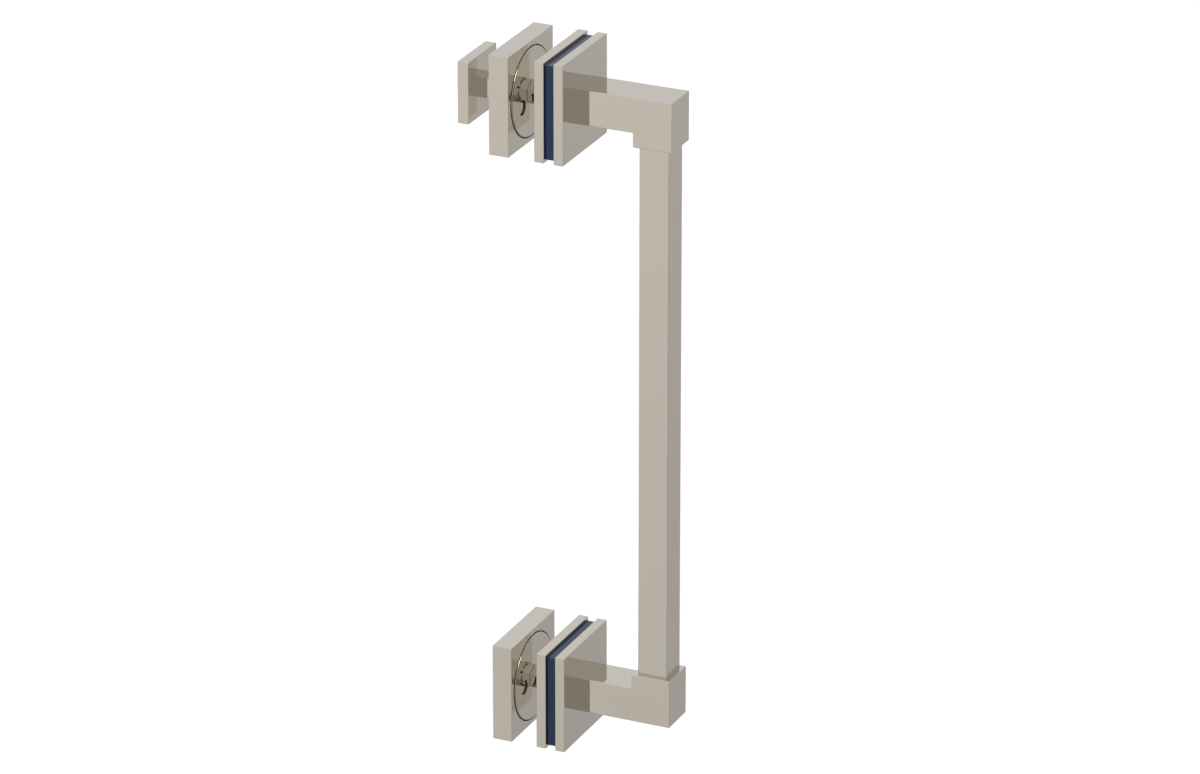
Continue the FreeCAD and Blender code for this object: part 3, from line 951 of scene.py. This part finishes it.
class HANDLE_OT_grub_screws(PieceOperator, bpy.types.Operator):
    """Add the grub screws in the covers and in the collars"""

    bl_idname = "handle.grub_screws"
    bl_label = "Grub screws"

    def build(self, sizes, finishes):
        for fixing in FIXINGS:
            low, high = box_at_fixing("upper_cover_screw")
            screw = grub_screw(sizes, high.x - low.x, high.z - low.z, sizes.cover_key)
            place = Matrix.Translation((0, (low.y + high.y) / 2, high.z)) @ Matrix.Rotation(-math.pi / 2, 4, "X")
            bmesh.ops.transform(screw, matrix=place, verts=screw.verts)
            add_piece(
                screw, f"{fixing}_cover_grub_screw", f"{fixing}_cover_screw", steel(finishes), sizes, fixing)
            low, high = box_at_fixing("upper_bar_screw")
            screw = grub_screw(sizes, high.x - low.x, high.y - low.y, sizes.bar_key)
            bmesh.ops.translate(screw, vec=(0, low.y, (low.z + high.z) / 2), verts=screw.verts)
            add_piece(
                screw, f"{fixing}_bar_grub_screw", f"{fixing}_bar_screw", steel(finishes), sizes, fixing,
                over=fixing == "lower")


class HANDLE_OT_hidden_steel(PieceOperator, bpy.types.Operator):
    """Give the dowel pins and the knob's screw their steel"""

    bl_idname = "handle.hidden_steel"
    bl_label = "Pins and knob screw"

    def build(self, sizes, finishes):
        for name in ("upper_dowel_pins", "lower_dowel_pins", "knob_screw"):
            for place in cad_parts[name].material_slots:
                place.material = steel(finishes)


class HANDLE_OT_studio(bpy.types.Operator):
    """Add the floor, the light and the camera"""

    bl_idname = "handle.studio"
    bl_label = "Studio"
    bl_options = {"REGISTER", "UNDO"}

    def execute(self, context):
        studio = context.scene.handle_studio
        add_floor(studio)
        add_lamp(studio)
        add_surroundings(studio)
        add_camera(studio)
        context.scene.view_settings.view_transform = "Standard"
        return {"FINISHED"}


def add_floor(studio):
    """A plain pale floor. The metal sees the studio's own tone in its place."""
    bm = bmesh.new()
    half = studio.floor_side / 2
    bmesh.ops.create_grid(
        bm, x_segments=1, y_segments=1, size=half, matrix=Matrix.Translation((0, 0, -studio.floor_drop)))
    mesh = bpy.data.meshes.new("Floor")
    bm.to_mesh(mesh)
    bm.free()
    floor = bpy.data.objects.new("Floor", mesh)
    bpy.context.scene.collection.objects.link(floor)
    made = bpy.data.materials.new("Pale floor")
    made.use_nodes = True
    tree = made.node_tree
    tree.nodes.remove(tree.nodes["Principled BSDF"])
    matte = add_node(tree, "ShaderNodeBsdfDiffuse", {"Color": (*studio.floor_colour, 1)})
    clear = add_node(tree, "ShaderNodeBsdfTransparent")
    path = add_node(tree, "ShaderNodeLightPath")
    either = add_node(tree, "ShaderNodeMixShader")
    tree.links.new(path.outputs["Is Glossy Ray"], either.inputs["Fac"])
    tree.links.new(matte.outputs["BSDF"], either.inputs[1])
    tree.links.new(clear.outputs["BSDF"], either.inputs[2])
    tree.links.new(either.outputs["Shader"], tree.nodes["Material Output"].inputs["Surface"])
    mesh.materials.append(made)


def add_lamp(studio):
    """One soft lamp from above."""
    lamp = bpy.data.lights.new("Soft lamp", "SUN")
    lamp.energy = studio.sun_strength
    lamp.angle = studio.sun_spread
    made = bpy.data.objects.new("Soft lamp", lamp)
    made.rotation_euler = (math.radians(20), math.radians(-25), 0)
    made.visible_glossy = False
    bpy.context.scene.collection.objects.link(made)


def worked_out(tree, operation, first, second=0.0):
    """The socket with one sum's result. Its terms are sockets or numbers."""
    made = tree.nodes.new("ShaderNodeMath")
    made.operation = operation
    for socket, term in zip(made.inputs, (first, second)):
        if isinstance(term, bpy.types.NodeSocket):
            tree.links.new(term, socket)
        else:
            socket.default_value = term
    return made.outputs["Value"]


def ramped(tree, value, start, end, low, high, kind="LINEAR"):
    """The socket with a number that goes from low to high while value goes from start to end."""
    made = add_node(tree, "ShaderNodeMapRange", {"From Min": start, "From Max": end, "To Min": low, "To Max": high})
    made.interpolation_type = kind
    tree.links.new(value, made.inputs["Value"])
    return made.outputs["Result"]


def mixed(tree, share, first, second):
    """The socket with a mix of two colours. The first may be a socket."""
    made = add_node(tree, "ShaderNodeMix")
    made.data_type = "RGBA"
    tree.links.new(share, made.inputs["Factor"])
    if isinstance(first, bpy.types.NodeSocket):
        tree.links.new(first, made.inputs["A"])
    else:
        made.inputs["A"].default_value = (*first, 1)
    made.inputs["B"].default_value = (*second, 1)
    return made.outputs["Result"]


def studio_tone(tree, direction, studio):
    """The sockets with the colour and brightness that the metal sees in each direction."""
    parts = add_node(tree, "ShaderNodeSeparateXYZ")
    tree.links.new(direction, parts.inputs["Vector"])
    x, y, z = parts.outputs["X"], parts.outputs["Y"], parts.outputs["Z"]
    corners = worked_out(tree, "MULTIPLY", x, y)
    tone = ramped(tree, y, -0.5, 0.5, studio.front_tone, studio.back_tone, "SMOOTHSTEP")
    for share in (
            ramped(tree, z, -0.75, -0.30, studio.low_tone, 1.0),
            ramped(tree, z, 0.34, 0.43, 1.0, studio.high_tone),
            ramped(tree, corners, -0.32, 0.32, 1 + studio.corner_tone, 1 - studio.corner_tone)):
        tone = worked_out(tree, "MULTIPLY", tone, share)
    tint = mixed(tree, ramped(tree, z, -0.2, 0.2, 0.0, 1.0), studio.low_tint, studio.high_tint)
    beside = worked_out(tree, "SUBTRACT", x, y)
    return mixed(tree, ramped(tree, beside, 0.6, 1.1, 0.0, 1.0), tint, studio.side_tint), tone


def light_panel(tree, direction, studio):
    """The socket with the brightness of a small light panel, which shows in the discs' rims."""
    toward = tree.nodes.new("ShaderNodeVectorMath")
    toward.operation = "DOT_PRODUCT"
    toward.inputs[1].default_value = Vector(studio.panel_place).normalized()
    tree.links.new(direction, toward.inputs[0])
    edge = math.cos(studio.panel_spread)
    inside = math.cos(studio.panel_spread * 0.8)
    return ramped(tree, toward.outputs["Value"], edge, inside, 0.0, studio.panel_strength)


def add_surroundings(studio):
    """A white background, and soft tones round the handle for its metal to reflect."""
    world = bpy.data.worlds.new("Studio")
    bpy.context.scene.world = world
    world.use_nodes = True
    tree = world.node_tree
    link = tree.links.new
    direction = add_node(tree, "ShaderNodeTexCoord").outputs["Generated"]
    colour, tone = studio_tone(tree, direction, studio)
    soft = add_node(tree, "ShaderNodeBackground")
    link(colour, soft.inputs["Color"])
    link(tone, soft.inputs["Strength"])
    panel = add_node(tree, "ShaderNodeBackground", {"Color": (*studio.panel_colour, 1)})
    link(light_panel(tree, direction, studio), panel.inputs["Strength"])
    reflected = add_node(tree, "ShaderNodeAddShader")
    link(soft.outputs["Background"], reflected.inputs[0])
    link(panel.outputs["Background"], reflected.inputs[1])

    open_light = add_node(tree, "ShaderNodeBackground", {"Color": (1, 1, 1, 1), "Strength": studio.open_light})
    white = add_node(tree, "ShaderNodeBackground", {"Color": (1, 1, 1, 1), "Strength": 1.0})
    path = add_node(tree, "ShaderNodeLightPath")
    lit = add_node(tree, "ShaderNodeMixShader")
    link(path.outputs["Is Glossy Ray"], lit.inputs["Fac"])
    link(open_light.outputs["Background"], lit.inputs[1])
    link(reflected.outputs["Shader"], lit.inputs[2])
    shown = add_node(tree, "ShaderNodeMixShader")
    seen = worked_out(tree, "MAXIMUM", path.outputs["Is Camera Ray"], path.outputs["Is Transmission Ray"])
    link(seen, shown.inputs["Fac"])
    link(lit.outputs["Shader"], shown.inputs[1])
    link(white.outputs["Background"], shown.inputs[2])
    link(shown.outputs["Shader"], tree.nodes["World Output"].inputs["Surface"])


def add_camera(studio):
    """A long lens from the left, in front and above."""
    lens = bpy.data.cameras.new("Camera")
    lens.lens = studio.camera_lens
    lens.sensor_fit = "HORIZONTAL"
    lens.clip_end = 100
    camera = bpy.data.objects.new("Camera", lens)
    camera.location = studio.camera_place
    camera.rotation_euler = Vector(studio.camera_line).to_track_quat("-Z", "Y").to_euler()
    bpy.context.scene.collection.objects.link(camera)
    bpy.context.scene.camera = camera


PIECES = (
    HANDLE_OT_pull_bar,
    HANDLE_OT_posts,
    HANDLE_OT_front_plates,
    HANDLE_OT_discs,
    HANDLE_OT_glass_bolts,
    HANDLE_OT_covers,
    HANDLE_OT_knob,
    HANDLE_OT_grub_screws,
    HANDLE_OT_hidden_steel,
    HANDLE_OT_studio,
)


class HANDLE_PT_panel(bpy.types.Panel):
    """Lists the handle's pieces and settings"""

    bl_label = "Shower door handle"
    bl_idname = "HANDLE_PT_panel"
    bl_space_type = "VIEW_3D"
    bl_region_type = "UI"
    bl_category = "Handle"

    def draw(self, context):
        layout = self.layout
        for operator in PIECES:
            layout.operator(operator.bl_idname)
        for group in (context.scene.handle_sizes, context.scene.handle_finishes, context.scene.handle_studio):
            box = layout.box()
            for name in group.__annotations__:
                box.prop(group, name)


GROUPS = {"handle_sizes": HandleSizes, "handle_finishes": HandleFinishes, "handle_studio": HandleStudio}


def register():
    for kind in (*GROUPS.values(), *PIECES, HANDLE_PT_panel):
        bpy.utils.register_class(kind)
    for name, kind in GROUPS.items():
        setattr(bpy.types.Scene, name, PointerProperty(type=kind))


def unregister():
    for name in GROUPS:
        delattr(bpy.types.Scene, name)
    for kind in reversed((*GROUPS.values(), *PIECES, HANDLE_PT_panel)):
        bpy.utils.unregister_class(kind)


def main():
    register()
    bpy.ops.handle.pull_bar()
    bpy.ops.handle.posts()
    bpy.ops.handle.front_plates()
    bpy.ops.handle.discs()
    bpy.ops.handle.glass_bolts()
    bpy.ops.handle.covers()
    bpy.ops.handle.knob()
    bpy.ops.handle.grub_screws()
    bpy.ops.handle.hidden_steel()
    bpy.ops.handle.studio()


if __name__ == "__main__":
    main()
